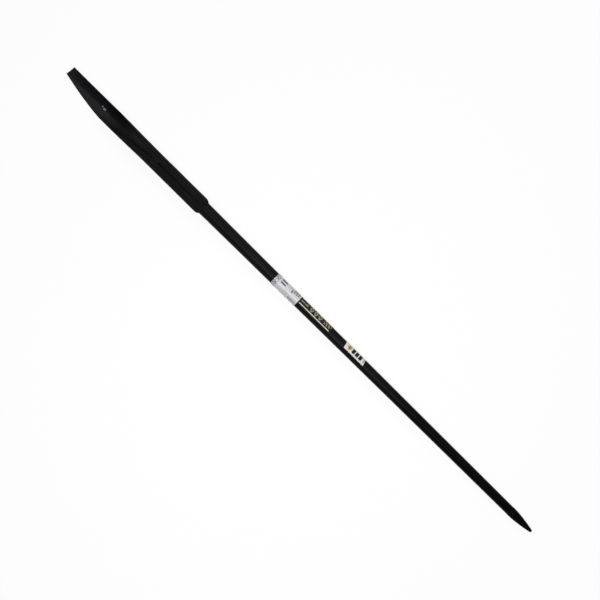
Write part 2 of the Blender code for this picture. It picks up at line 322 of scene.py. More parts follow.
def bar_slope():
    """Slope of the lying bar, from the way that its tip faces."""
    facing = frame["record"]["mounts"][0]["axis"]
    return atan2(facing[2], -facing[0])


def tip_place():
    """Where the axis of the lying bar begins, at the blade's tip."""
    return (-cos(bar_slope()) * bar_sizes().bar_length / 2, 0, bar_sizes().axis_height)


def lay_on_floor(piece):
    """Tilts a piece that was shaped along the level axis and puts it where its solid lies."""
    make_active(piece)
    piece.rotation_euler = (0, bar_slope(), 0)
    piece.location = tip_place()
    bpy.ops.object.transform_apply()


def apply_modifier(piece, kind, **settings):
    make_active(piece)
    modifier = piece.modifiers.new(kind.title(), kind)
    for name, value in settings.items():
        setattr(modifier, name, value)
    bpy.ops.object.modifier_apply(modifier=modifier.name)


def finish_piece(piece, node, material, sharp_angle=35):
    """Smooths a piece, gives it its material and ties it to the solid that it stands for."""
    make_active(piece)
    bpy.ops.object.shade_smooth_by_angle(angle=radians(sharp_angle))
    piece.data.materials.clear()
    piece.data.materials.append(material)
    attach(piece, BODY)
    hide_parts(node)


# Shaping


def pull_along_bar(name, profile, sides):
    """Starts with a ring and pulls it along the bar, resized at each station of the profile."""
    (x, radius), *stations = profile
    deselect_all()
    bpy.ops.mesh.primitive_circle_add(
        vertices=sides, radius=radius, fill_type="NOTHING", location=(x, 0, 0), rotation=(0, pi / 2, 0)
    )
    piece = bpy.context.object
    piece.name = piece.data.name = name
    bpy.ops.object.transform_apply()
    bpy.ops.object.mode_set(mode="EDIT")
    bpy.ops.mesh.select_mode(type="VERT")
    bpy.ops.mesh.select_all(action="SELECT")
    for next_x, next_radius in stations:
        step = (next_x - x, 0, 0)
        bpy.ops.mesh.extrude_region_move(TRANSFORM_OT_translate={"value": step})
        grow = next_radius / radius
        bpy.ops.transform.resize(value=(1, grow, grow), center_override=(next_x, 0, 0))
        x, radius = next_x, next_radius
    return piece


def thicken(piece, thickness, offset, rim, rim_angle):
    """Gives a skin its wall, inwards at offset -1 and outwards at 1, and rounds its rims."""
    apply_modifier(piece, "SOLIDIFY", thickness=thickness, offset=offset, use_rim=True)
    angle = radians(rim_angle)
    apply_modifier(piece, "BEVEL", width=rim, segments=2, limit_method="ANGLE", angle_limit=angle)


def taper_start():
    """Where the tube leaves the socket's weld and begins to taper."""
    return bar_sizes().blade_length + bar_sizes().weld_length


def tube_radius(x):
    """Outside radius of the tube: even in the socket, then falling faster at first."""
    sizes = bar_sizes()
    share = min(1.0, max(0.0, (x - taper_start()) / (sizes.tube_end - taper_start())))
    return sizes.thick_radius - (sizes.thick_radius - sizes.thin_radius) * share**TAPER_POWER


def pull_weld(name, start, end, foot, steps, crown_radius):
    """Pulls a ring of weld metal from its foot over its crown, and closes it underneath."""
    profile = [(start, foot)]
    for step in range(steps + 1):
        share = step / steps
        profile.append((start + (end - start) * share, crown_radius(share)))
    profile.append((end, foot))
    weld = pull_along_bar(name, profile, WELD_SIDES)
    bpy.ops.mesh.select_mode(type="EDGE")
    bpy.ops.mesh.select_all(action="DESELECT")
    bpy.ops.mesh.select_non_manifold()
    bpy.ops.mesh.bridge_edge_loops()
    face_all()
    return weld


def ripple_weld(weld, start, end, least_radius, ripples, height, lag):
    """Raises a weld's crown in crescents, in a few lifts, as a welder's hand leaves it."""
    for threshold in RIPPLE_LIFTS:

        def on_ripple(place):
            if not start < place.x < end or hypot(place.y, place.z) < least_radius:
                return False
            across = (place.x - start) / (end - start) * 2 - 1
            return cos(ripples * turn_of(place) + lag * across**2) > threshold

        select_where(weld, on_ripple)
        bpy.ops.transform.shrink_fatten(value=height / len(RIPPLE_LIFTS))


# Building blocks of the materials


class Wire:
    """What a node puts out. Arithmetic on it adds Math nodes to its tree."""

    def __init__(self, socket):
        self.socket = socket
        self.tree = socket.id_data

    def calc(self, operation, *values):
        values = dict(enumerate((self, *values)))
        return add_node("ShaderNodeMath", values, operation=operation)[0]

    __add__ = partialmethod(calc, "ADD")
    __sub__ = partialmethod(calc, "SUBTRACT")
    __mul__ = partialmethod(calc, "MULTIPLY")
    __truediv__ = partialmethod(calc, "DIVIDE")
    __pow__ = partialmethod(calc, "POWER")
    __lt__ = partialmethod(calc, "LESS_THAN")
    __gt__ = partialmethod(calc, "GREATER_THAN")
    __abs__ = partialmethod(calc, "ABSOLUTE")


class Wires:
    """All that one node puts out, by name or number."""

    def __init__(self, node):
        self.node = node
        self.tree = node.id_data

    def __getitem__(self, key):
        return Wire(self.node.outputs[key])

    def pick(self, *keys):
        return {key: self[key] for key in keys}


def fill(inputs, values):
    """Links a wire to each input that is given one, and sets the others to their plain value."""
    for key, value in values.items():
        if isinstance(value, Wire):
            value.tree.links.new(value.socket, inputs[key])
        elif inputs[key].type == "RGBA":
            inputs[key].default_value = (*value, 1.0)
        else:
            inputs[key].default_value = value


def add_node(kind, values=None, tree=None, **settings):
    """Adds a node to the tree, or to that of its first wire, sets it up and fills its inputs."""
    if tree is None:
        tree = next(value.tree for value in values.values() if isinstance(value, Wire))
    node = tree.nodes.new(kind)
    for name, value in settings.items():
        setattr(node, name, value)
    fill(node.inputs, values or {})
    return Wires(node)


def largest(*masks):
    return reduce(lambda one, other: one.calc("MAXIMUM", other), masks)


def between(value, low, high):
    """1 where the value lies between the two."""
    return (value > low) * (value < high)


def fade_in(value, start, end):
    """Goes evenly from 0 to 1 between start and end."""
    return add_node("ShaderNodeMapRange", {"Value": value, "From Min": start, "From Max": end})[0]


def fade_out(value, start, end):
    return fade_in(value, end, start)


def blend(factor, one, other):
    """Two colours mixed by a mask."""
    return add_node("ShaderNodeMix", {0: factor, 6: one, 7: other}, data_type="RGBA")[2]


def overprint(ground, *layers):
    """Lays colours over the ground in turn, each through its mask."""
    return reduce(lambda below, layer: blend(layer[0], below, layer[1]), layers, ground)


def noise(where, size, detail=2.0, roughness=0.5):
    """Noise whose patches are about as large as the size, in metres."""
    values = {"Vector": where["Place"], "Scale": 1 / size, "Detail": detail, "Roughness": roughness}
    return add_node("ShaderNodeTexNoise", values)[0]


def drawn_noise(given, per_along, per_round, detail):
    """Noise drawn out along the bar, with so many patches to the metre along it and round it."""
    values = {0: given["Along"] * per_along, 1: given["Round"] * per_round}
    drawn = add_node("ShaderNodeCombineXYZ", values)[0]
    return noise({"Place": drawn}, size=1.0, detail=detail)


def new_group(name, inputs, outputs):
    """Starts a node group: the wires that it is given, and the inputs that it has to fill."""
    tree = bpy.data.node_groups.new(name, "ShaderNodeTree")
    for label, given in inputs.items():
        if isinstance(given, str):
            tree.interface.new_socket(label, in_out="INPUT", socket_type=given)
        else:
            tree.interface.new_socket(label, in_out="INPUT", socket_type=FLOAT).default_value = given
    for label, kind in outputs.items():
        tree.interface.new_socket(label, in_out="OUTPUT", socket_type=kind)
    return Wires(tree.nodes.new("NodeGroupInput")), tree.nodes.new("NodeGroupOutput").inputs


def use_group(name, values):
    """Places one of the shared groups where its wires are."""
    return add_node("ShaderNodeGroup", values, node_tree=bpy.data.node_groups[name])


def make_bar_place_group():
    """Where a point lies on the bar: along it, round it from the top, and out from its axis."""
    outputs = {"Place": VECTOR, "Along": FLOAT, "Round": FLOAT, "Height": FLOAT, "Side": FLOAT}
    given, wanted = new_group("bar_place", {"Object": VECTOR}, outputs)
    values = {"Vector": given["Object"], "Location": tip_place(), "Rotation": (0, bar_slope(), 0)}
    place = add_node("ShaderNodeMapping", values, vector_type="TEXTURE")[0]
    parts = add_node("ShaderNodeSeparateXYZ", {0: place})
    side, height = parts["Y"], parts["Z"]
    turned = side.calc("ARCTAN2", height) * (side**2 + height**2).calc("SQRT")
    fill(wanted, {"Place": place, "Along": parts["X"], "Round": turned, "Height": height, "Side": side})


def make_black_coating_group():
    """Baked black coating: fine grain, pinholes and slow changes of shade and gloss."""
    cloud_shade, cloud_gloss, speck_gloss = 1.6, 0.35, 0.25
    pinholes_per_metre, pinhole_edge, pinhole_rarity, pinhole_shade = 620.0, (0.06, 0.20), 0.62, 0.45
    fine_relief, coarse_relief, pinhole_relief = 0.35, 0.65, 0.5
    inputs = {"Place": VECTOR, "Colour": COLOUR, "Roughness": 0.5, "Grain": 0.5, "Mottle": 0.5}
    outputs = {"Colour": COLOUR, "Roughness": FLOAT, "Height": FLOAT}
    given, wanted = new_group("black_coating", inputs, outputs)
    fine = noise(given, size=0.0009, detail=3.0, roughness=0.65)
    coarse = noise(given, size=0.0045, detail=3.0, roughness=0.6)
    cloud = noise(given, size=0.022, detail=5.0, roughness=0.6)
    cells = add_node("ShaderNodeTexVoronoi", {"Vector": given["Place"], "Scale": pinholes_per_metre})
    pinhole = fade_out(cells["Distance"], *pinhole_edge) * (cells["Color"] > pinhole_rarity)
    swing = (cloud - 0.5) * given["Mottle"]
    speck = (fine - 0.5) * given["Grain"]
    patch = (coarse - 0.5) * given["Grain"]
    shade = swing * cloud_shade + 1.0 + (speck + patch)
    values = {0: given["Colour"], "Scale": shade}
    shaded = add_node("ShaderNodeVectorMath", values, operation="SCALE")[0]
    values = {
        "Colour": blend(pinhole * pinhole_shade, shaded, PINHOLE_BLACK),
        "Roughness": given["Roughness"] + swing * cloud_gloss + speck * speck_gloss,
        "Height": fine * fine_relief + coarse * coarse_relief - pinhole * pinhole_relief,
    }
    fill(wanted, values)


def make_rubbed_edges_group():
    """Where handling has rubbed the proud edges, broken up so that no edge is lined evenly."""
    proud, patch_edge = (0.52, 0.58), (0.42, 0.66)
    given, wanted = new_group("rubbed_edges", {"Place": VECTOR, "Pointiness": 0.5}, {"Mask": FLOAT})
    edge = fade_in(given["Pointiness"], *proud)
    patches = noise(given, size=0.006, detail=4.0, roughness=0.65)
    fill(wanted, {"Mask": edge * fade_in(patches, *patch_edge)})


def make_long_scratches_group():
    """Fine scuffs that run along the bar, from packing and sliding it."""
    line_edge, swarm_edge = (0.66, 0.72), (0.48, 0.62)
    inputs = {"Along": 0.0, "Round": 0.0, "Amount": 0.5}
    given, wanted = new_group("long_scratches", inputs, {"Mask": FLOAT})
    lines = fade_in(drawn_noise(given, per_along=14.0, per_round=620.0, detail=2.0), *line_edge)
    swarms = fade_in(drawn_noise(given, per_along=9.0, per_round=40.0, detail=3.0), *swarm_edge)
    fill(wanted, {"Mask": lines * swarms * given["Amount"]})


def new_ink_group(name):
    """Starts a group for one kind of printed mark, measured along and round the bar."""
    return new_group(name, {"Along": 0.0, "Round": 0.0, **MARKS[name]}, {"Mask": FLOAT})


def make_ink_block_group():
    """A printed rectangle."""
    given, wanted = new_ink_group("ink_block")
    columns = between(given["Along"], given["From"], given["To"])
    fill(wanted, {"Mask": columns * between(given["Round"], given["Low"], given["High"])})


def make_ink_row_group():
    """Equal printed bars in a row. Lean makes them slant, as a share of their height."""
    given, wanted = new_ink_group("ink_row")
    block = use_group("ink_block", given.pick("Along", "Round", *MARKS["ink_block"]))["Mask"]
    travel = given["Along"] - given["From"] + (given["Round"] - given["Low"]) * given["Lean"]
    phase = (travel / given["Pitch"]).calc("FRACT")
    fill(wanted, {"Mask": block * (phase < given["Fill"])})


def make_ink_lozenges_group():
    """A row of printed diamonds."""
    given, wanted = new_ink_group("ink_lozenges")
    phase = ((given["Along"] - given["From"]) / given["Pitch"]).calc("FRACT")
    spread = abs(phase * 2.0 - 1.0) + abs(given["Round"] - given["Middle"]) / given["Half Height"]
    span = between(given["Along"], given["From"], given["To"])
    fill(wanted, {"Mask": (spread < given["Fill"]) * span})


def make_film_surface_group():
    """Adhesive film: slight creases, small dents over the grain below and handling marks."""
    wide_gloss, wide_relief, fine_relief, crease_relief = 0.3, 1.2, 0.15, 0.25
    crease_width, soil_edge = 0.03, (0.55, 0.75)
    inputs = {"Place": VECTOR, "Along": 0.0, "Round": 0.0, "Roughness": 0.35}
    outputs = {"Roughness": FLOAT, "Height": FLOAT, "Soil": FLOAT}
    given, wanted = new_group("film_surface", inputs, outputs)
    wide = noise(given, size=0.012, detail=3.0, roughness=0.55)
    fine = noise(given, size=0.0016)
    soil = noise(given, size=0.005, detail=5.0, roughness=0.7)
    folds = drawn_noise(given, per_along=45.0, per_round=380.0, detail=1.0)
    crease = fade_out(abs(folds - 0.5), 0.0, crease_width)
    values = {
        "Roughness": (wide - 0.5) * wide_gloss + given["Roughness"],
        "Height": wide * wide_relief + crease * crease_relief + fine * fine_relief,
        "Soil": fade_in(soil, *soil_edge),
    }
    fill(wanted, values)


def make_shared_groups():
    make_bar_place_group()
    make_black_coating_group()
    make_rubbed_edges_group()
    make_long_scratches_group()
    make_ink_block_group()
    make_ink_row_group()
    make_ink_lozenges_group()
    make_film_surface_group()


def new_material(name):
    """A new material, its shader and the place on the object."""
    material = bpy.data.materials.new(name)
    material.use_nodes = True
    place = add_node("ShaderNodeTexCoord", tree=material.node_tree)["Object"]
    return material, material.node_tree.nodes["Principled BSDF"], place


def new_bar_material(name):
    """A new material whose place is measured along and round the bar."""
    material, shader, place = new_material(name)
    return material, shader, use_group("bar_place", {"Object": place})


def link_bump(shader, height, distance):
    bump = add_node("ShaderNodeBump", {"Height": height, "Distance": distance})
    fill(shader.inputs, {"Normal": bump[0]})


def coat_steel(name, colour_of, coat, rub=None):
    """Black coating over steel, with rubbed edges, lengthwise scuffs and, if wanted, a rub of its own, such
    as the blade's rubs with their painted highlight.
    """
    metal_shown = 0.8
    material, shader, where = new_bar_material(name)
    values = {"Roughness": coat.roughness, "Grain": coat.grain, "Mottle": coat.mottle}
    surface = use_group("black_coating", {**where.pick("Place"), "Colour": colour_of(where), **values})
    pointiness = add_node("ShaderNodeNewGeometry", tree=where.tree)["Pointiness"]
    edges = use_group("rubbed_edges", {**where.pick("Place"), "Pointiness": pointiness})["Mask"]
    scuffs = use_group("long_scratches", {**where.pick("Along", "Round"), "Amount": coat.scuffs})["Mask"]
    worn = largest(edges * coat.wear, scuffs)
    shade = blend(worn, surface["Colour"], chosen("bare_steel"))
    if rub is not None:
        shade, worn = rub(where, shade, worn)
    values = {
        "Base Color": shade,
        "Roughness": surface["Roughness"],
        "Metallic": worn * metal_shown,
        "Specular IOR Level": coat.specular,
    }
    fill(shader.inputs, values)
    link_bump(shader, surface["Height"], coat.relief)
    return material


def make_blade_coating():
    """Satin black, a little bluish in front, greyed by use at the tip, with painted light on the swept half
    of the hollow and deep in the socket.
    """

    def colour_of(where):
        along = where["Along"]
        front = blend(fade_out(along, *FRONT_TO_TROUGH), chosen("blade_black"), BLUISH_BLACK)
        # Painted light: lighter inside towards the mouth and deep in the socket, where the hollow lies in
        # shade
        inside = blend(fade_in(along, *TROUGH_TO_MOUTH), TROUGH_BLACK, MOUTH_PAINTED_LIGHT_GREY)
        inside = blend(fade_in(along, *MOUTH_TO_SOCKET), inside, SOCKET_PAINTED_LIGHT_GREY)
        shade = blend(hollow_side(where) * fade_in(along, *FRONT_TO_TROUGH), front, inside)
        shade = blend(fade_out(along, *TIP_WEAR), shade, TIP_GREY)
        # Painted light: the swept half of the hollow is drawn lighter where light falls on it
        return blend(painted_light_half(where), shade, SWEPT_PAINTED_LIGHT_GREY)

    return coat_steel("blade_satin_black", colour_of, BLADE_COAT, rub_trough_with_glint)


def hollow_side(where):
    """1 where the plate faces the bar's axis, and 0 on its back."""
    turning_zone = 0.002
    outward = add_node("ShaderNodeCombineXYZ", {1: where["Side"], 2: where["Height"]})[0]
    facing = add_node("ShaderNodeNewGeometry", tree=where.tree)["Normal"]
    toward = add_node("ShaderNodeVectorMath", {0: facing, 1: outward}, operation="DOT_PRODUCT")
    return fade_in(toward["Value"], turning_zone, -turning_zone)


def painted_light_half(where):
    """1 on the swept half of the trough's hollow, the wall that is painted lighter as the light falls on it,
    fading out towards the socket.
    """
    waver, side_edge = 0.006, (0.002, 0.0065)
    side = noise(where, size=0.012, detail=3.0) * waver + where["Side"]
    return fade_out(side, *side_edge) * fade_out(where["Along"], *SWEPT_PAINTED_LIGHT_FADE) * hollow_side(where)


def rub_trough_with_glint(where, shade, worn):
    """Two small bright rubs of bare steel on the floor of the trough, close together, with a ragged edge,
    their brightness a painted highlight.
    """
    raggedness, rub_edge, streak_edge, metal_shown = 1.8, (0.75, 1.05), (0.35, 0.65), 0.5
    ragged = noise(where, size=0.0016, detail=5.0, roughness=0.65) - 0.5
    rubs = []
    for middle, offset, half_length, half_width in RUBS_WITH_GLINT:
        along = (where["Along"] - middle) / half_length
        side = (where["Side"] - offset) / half_width
        reach = ragged * raggedness + (along**2 + side**2).calc("SQRT")
        rubs.append(fade_out(reach, *rub_edge))
    rubbed = largest(*rubs) * hollow_side(where)
    streaks = noise(where, size=0.0012, detail=4.0, roughness=0.6)
    # Painted highlight: bright steel grey stands for the glint on the trough's floor
    metal = blend(fade_in(streaks, *streak_edge), SCRAPED_GLINT_GREY, chosen("bare_steel"))
    return blend(rubbed, shade, metal), largest(worn, rubbed * metal_shown)


def make_tube_coating():
    """Fine-grained semi-gloss black that darkens towards the thin end, partly as painted shade, and has
    painted shade where it lies inside the socket.
    """

    def colour_of(where):
        # Darker towards the thin end: partly the coating's tone, partly painted shade
        thin_half = fade_in(where["Along"], *THICK_TO_THIN_HALF)
        shade = blend(thin_half, chosen("tube_black"), chosen("far_black_and_shade"))
        # Painted shade: darker where the tube lies inside the socket
        return blend(where["Along"] < bar_sizes().blade_length, shade, SOCKET_PAINTED_SHADE_BLACK)

    return coat_steel("tube_semi_gloss_black", colour_of, TUBE_COAT)


def make_point_coating():
    """The tube's black, a little duller, and greyed at the nose."""
    greyed = 0.5

    def colour_of(where):
        # The far black carries painted shade
        return blend(fade_in(where["Along"], *NOSE_WEAR) * greyed, chosen("far_black_and_shade"), NOSE_BLACK)

    return coat_steel("point_semi_gloss_black", colour_of, POINT_COAT)


def make_weld_coating(name, light, dark):
    """Dull black that changes shade from ripple to ripple."""

    def colour_of(where):
        return blend(noise(where, size=0.004), light, dark)

    return coat_steel(name, colour_of, WELD_COAT)


def printed(where, kind, *marks):
    """Joins the masks of several printed marks of one kind."""
    masks = []
    for mark in marks:
        values = {**where.pick("Along", "Round"), **dict(zip(MARKS[kind], mark))}
        masks.append(use_group(kind, values)["Mask"])
    return largest(*masks)


def finish_film(shader, where, shade, ink_mask, roughness, coat_weight):
    """Film gloss, ink that lies a little duller, creases and a trace of handling soil."""
    soil_cover, ink_dullness, ink_relief, film_relief = 0.12, 0.08, 0.12, 0.00012
    film = use_group("film_surface", {**where.pick("Place", "Along", "Round"), "Roughness": roughness})
    values = {
        "Base Color": blend(film["Soil"] * soil_cover, shade, HANDLING_SOIL),
        "Roughness": ink_mask * ink_dullness + film["Roughness"],
        "Coat Weight": coat_weight,
        "Coat Roughness": 0.35,
        "Specular IOR Level": 0.12,
    }
    fill(shader.inputs, values)
    link_bump(shader, ink_mask * ink_relief + film["Height"], film_relief)


def small_squares():
    """Rows of small squares at the silver label's front end, every other row moved on by one square."""
    rows = []
    for row in range(-SQUARE_ROWS, SQUARE_ROWS):
        if row % EMPTY_EVERY:
            start, low = SQUARES_START + SQUARE * (row % 2), SQUARE * row
            rows.append((start, start + SQUARES_LENGTH, low, low + SQUARE, 2 * SQUARE, 0.5))
    return rows


def make_silver_film():
    """Silver-white wrap with a band of small squares, two short bars, rows of blocks and thin rules."""
    rule_cover, squares_cover, row_cover, metal_shown = 0.6, 0.95, 0.9, 0.1
    material, shader, where = new_bar_material("silver_wrap_film")
    bars = printed(where, "ink_block", *SILVER_BARS)
    squares = printed(where, "ink_row", *small_squares())
    shade = overprint(
        blend(noise(where, size=0.02), chosen("silver"), SILVER_CLOUD),
        (printed(where, "ink_block", *SILVER_RULES) * rule_cover, RULE_GREY),
        (squares * squares_cover, MARK_GREY),
        (printed(where, "ink_row", *SILVER_ROWS) * row_cover, MARK_GREY),
        (bars, BAR_BLACK),
    )
    finish_film(shader, where, shade, largest(bars, squares), roughness=0.48, coat_weight=0.04)
    fill(shader.inputs, {"Metallic": metal_shown})
    return material


def make_dark_film():
    """Black film with dull gold diamonds and bars over a pale rule, and pale squares at the rim."""
    material, shader, where = new_bar_material("dark_label_film")
    diamonds = printed(where, "ink_lozenges", (*DARK_DIAMONDS, DIAMOND_FILL))
    cores = printed(where, "ink_lozenges", (*DARK_DIAMONDS, DIAMOND_CORE))
    gold_marks = largest(diamonds - cores, printed(where, "ink_row", *DARK_ROWS))
    clouds = noise(where, size=0.006, detail=3.0)
    rule = printed(where, "ink_block", DARK_RULE)
    shade = overprint(
        chosen("ink"),
        (gold_marks, blend(clouds, chosen("gold"), GOLD_CLOUD)),
        (printed(where, "ink_row", DARK_RIM_SQUARES), RIM_CREAM),
        (rule, RULE_CREAM),
        (printed(where, "ink_block", DARK_TICK), TICK_RED),
    )
    finish_film(shader, where, shade, largest(gold_marks, rule), roughness=0.46, coat_weight=0.03)
    return material


def make_white_film():
    """White film with one gold diamond, a row of black blocks and two thin rules."""
    rule_cover = 0.7
    material, shader, where = new_bar_material("white_label_film")
    diamond = printed(where, "ink_lozenges", WHITE_DIAMOND)
    blocks = printed(where, "ink_row", WHITE_BLOCKS)
    shade = overprint(
        blend(noise(where, size=0.015), chosen("white"), WHITE_CLOUD),
        (diamond, BRIGHT_GOLD),
        (printed(where, "ink_lozenges", (*WHITE_DIAMOND, WHITE_CORE)), CORE_BROWN),
        (printed(where, "ink_block", *WHITE_RULES) * rule_cover, WHITE_RULE_GREY),
        (blocks, chosen("ink")),
    )
    finish_film(shader, where, shade, largest(diamond, blocks), roughness=0.45, coat_weight=0.03)
    return material


# Operators, one for each piece or group of like pieces


class AddBlade(bpy.types.Operator):
    """Adds the gouge blade with its rolled socket"""

    bl_idname = "digging_bar.add_blade"
    bl_label = "Blade"

    def execute(self, context):
        blade = bpy.data.objects.new("rolled_blade", frame["nodes"]["blade"].data.copy())
        context.scene.collection.objects.link(blade)
        make_active(blade)
        bpy.ops.object.mode_set(mode="EDIT")
        bpy.ops.mesh.select_all(action="SELECT")
        bpy.ops.mesh.remove_doubles(threshold=MERGE_DISTANCE)
        bpy.ops.mesh.tris_convert_to_quads(face_threshold=radians(40), shape_threshold=radians(60))
        self.cut_rings(blade, bar_sizes())
        apply_modifier(blade, "SUBSURF", levels=2, render_levels=2)
        dents = bpy.data.textures.new("forging_unevenness", "CLOUDS")
        dents.noise_scale = DENT_SIZE
        dents.noise_depth = 2
        inwards = {"mid_level": 1.0, "strength": DENT_DEPTH}
        apply_modifier(blade, "DISPLACE", texture=dents, texture_coords="LOCAL", **inwards)
        finish_piece(blade, "blade", make_blade_coating())
        return {"FINISHED"}

    def cut_rings(self, blade, sizes):
        """Leans the tip's end, then cuts rings that hold both ends and the seam when it is smoothed."""
        slope = bar_slope()
        along = Vector((cos(slope), 0, -sin(slope)))
        tip = Vector(tip_place())
        corner = tip + Vector((0, sizes.swept_corner, 0))
        select_where(blade, lambda place: (place - tip).dot(along) < END_FACE_DEPTH)
        bpy.ops.transform.rotate(value=sizes.tip_lean, orient_axis="Z", center_override=corner)
        facing = Matrix.Rotation(-sizes.tip_lean, 3, "Z") @ along
        places = [sizes.blade_length - CRISP_END]
        places += [SEAM_CUT_START + SEAM_CUT_PITCH * step for step in range(SEAM_CUTS)]
        cuts = [(corner + facing * CRISP_END, facing)]
        cuts += [(tip + along * place, along) for place in places]
        for spot, normal in cuts:
            bpy.ops.mesh.select_all(action="SELECT")
            bpy.ops.mesh.bisect(plane_co=spot, plane_no=normal)


class AddTube(bpy.types.Operator):
    """Adds the tapered tube that is the bar's handle"""

    bl_idname = "digging_bar.add_tube"
    bl_label = "Handle tube"

    def execute(self, context):
        sizes = bar_sizes()
        start, middle, end = sizes.tube_start, taper_start(), sizes.tube_end
        stations = [start + (middle - start) * step / SOCKET_STATIONS for step in range(SOCKET_STATIONS)]
        for step in range(TAPER_STATIONS + 1):
            stations.append(middle + (end - middle) * (step / TAPER_STATIONS) ** TAPER_CROWDING)
        for inset in END_RINGS:
            stations += [start + inset, end - inset]
        tube = pull_along_bar("tapered_tube", [(x, tube_radius(x)) for x in sorted(stations)], TUBE_SIDES)
        face_all()
        thicken(tube, sizes.tube_wall, offset=-1.0, rim=TUBE_RIM, rim_angle=60)
        lay_on_floor(tube)
        finish_piece(tube, "handle_tube", make_tube_coating())
        return {"FINISHED"}


class AddPoint(bpy.types.Operator):
    """Adds the solid point with its spigot"""

    bl_idname = "digging_bar.add_point"
    bl_label = "Point"

    def execute(self, context):
        sizes = bar_sizes()
        spigot = sizes.thin_radius - sizes.tube_wall - GAP
        spigot_start = sizes.tube_end - SPIGOT_LENGTH
        profile = [
            (spigot_start, spigot * SPIGOT_CORE),
            (spigot_start, spigot - SPIGOT_BEVEL),
            (spigot_start + SPIGOT_BEVEL, spigot),
            (sizes.point_start, spigot),
            (sizes.point_start, sizes.thin_radius - BASE_BEVEL),
            (sizes.point_start + BASE_BEVEL, sizes.thin_radius),
        ]
        taper, nose = sizes.bar_length - POINT_TAPER, sizes.bar_length - NOSE_LENGTH
        for step in range(TAPER_STEPS + 1):
            share = step / TAPER_STEPS
            fall = (sizes.thin_radius - NOSE_RADIUS) * share**POINT_FULLNESS
            profile.append((taper + (nose - taper) * share, sizes.thin_radius - fall))
        for step in range(1, NOSE_STEPS):
            angle = pi / 2 * step / NOSE_STEPS
            nose_x = nose + (sizes.bar_length - nose) * sin(angle)
            profile.append((nose_x, NOSE_RADIUS * cos(angle)))
        profile.append((sizes.bar_length, NOSE_END_RADIUS))
        point = pull_along_bar("steel_point", profile, TUBE_SIDES)
        bpy.ops.mesh.merge(type="CENTER")
        core = (spigot * SPIGOT_CORE + spigot - SPIGOT_BEVEL) / 2
        select_where(point, lambda place: place.x < spigot_start + END_FACE_DEPTH and place.yz.length < core)
        bpy.ops.mesh.edge_face_add()
        face_all()
        lay_on_floor(point)
        finish_piece(point, "point", make_point_coating())
        return {"FINISHED"}


class AddWelds(bpy.types.Operator):
    """Adds the fillet behind the socket and the bead at the point"""

    bl_idname = "digging_bar.add_welds"
    bl_label = "Welds"

    def execute(self, context):
        self.add_socket_fillet(bar_sizes())
        self.add_point_bead(bar_sizes())
        return {"FINISHED"}

    def add_socket_fillet(self, sizes):
        """Slopes from the socket down to the tube, and is open along the seam as the socket is."""
        start, end = sizes.blade_length + GAP, taper_start()
        foot = sizes.thick_radius + GAP
        shoulder = sizes.socket_radius - FILLET_DROP

        def crown_radius(share):
            crown = FILLET_CROWN * sin(pi * share)
            return shoulder - (shoulder - foot - FILLET_TOE) * share + crown

        weld = pull_weld("socket_fillet_weld", start, end, foot, FILLET_STEPS, crown_radius)
        ripple_weld(weld, start + GAP, end, foot + GAP, **FILLET_RIPPLE)
        select_where(weld, lambda place: start + GAP < place.x)
        bpy.ops.mesh.vertices_smooth(factor=FILLET_SMOOTHING, repeat=1)
        seam = asin(sizes.seam_gap / 2 / foot)
        for side in (1, -1):
            select_where(weld, lambda place: abs(turn_of(place)) < 4 * seam, "FACE")
            edge = Vector((0, side * cos(seam), -sin(seam)))
            bpy.ops.mesh.bisect(plane_co=(0, 0, 0), plane_no=edge)
        select_where(weld, lambda place: abs(turn_of(place)) < seam, "FACE")
        bpy.ops.mesh.delete(type="FACE")
        bpy.ops.mesh.select_all(action="SELECT")
        bpy.ops.mesh.fill_holes(sides=0)
        face_all()
        lay_on_floor(weld)
        coating = make_weld_coating("socket_weld_black", *FILLET_SHADES)
        finish_piece(weld, "socket_weld", coating, sharp_angle=50)

    def add_point_bead(self, sizes):
        """A low bead that stands a little proud of the tube and the point."""
        start, end = sizes.tube_end + GAP, sizes.point_start - GAP
        foot = sizes.thin_radius - sizes.tube_wall

        def crown_radius(share):
            return sizes.thin_radius + BEAD_CROWN * sin(pi * share)

        weld = pull_weld("point_bead_weld", start, end, foot, BEAD_STEPS, crown_radius)
        least_radius = sizes.thin_radius - BEAD_EDGE
        ripple_weld(weld, start + BEAD_EDGE, end - BEAD_EDGE, least_radius, **BEAD_RIPPLE)
        lay_on_floor(weld)
        coating = make_weld_coating("point_weld_black", *BEAD_SHADES)
        finish_piece(weld, "point_weld", coating, sharp_angle=50)


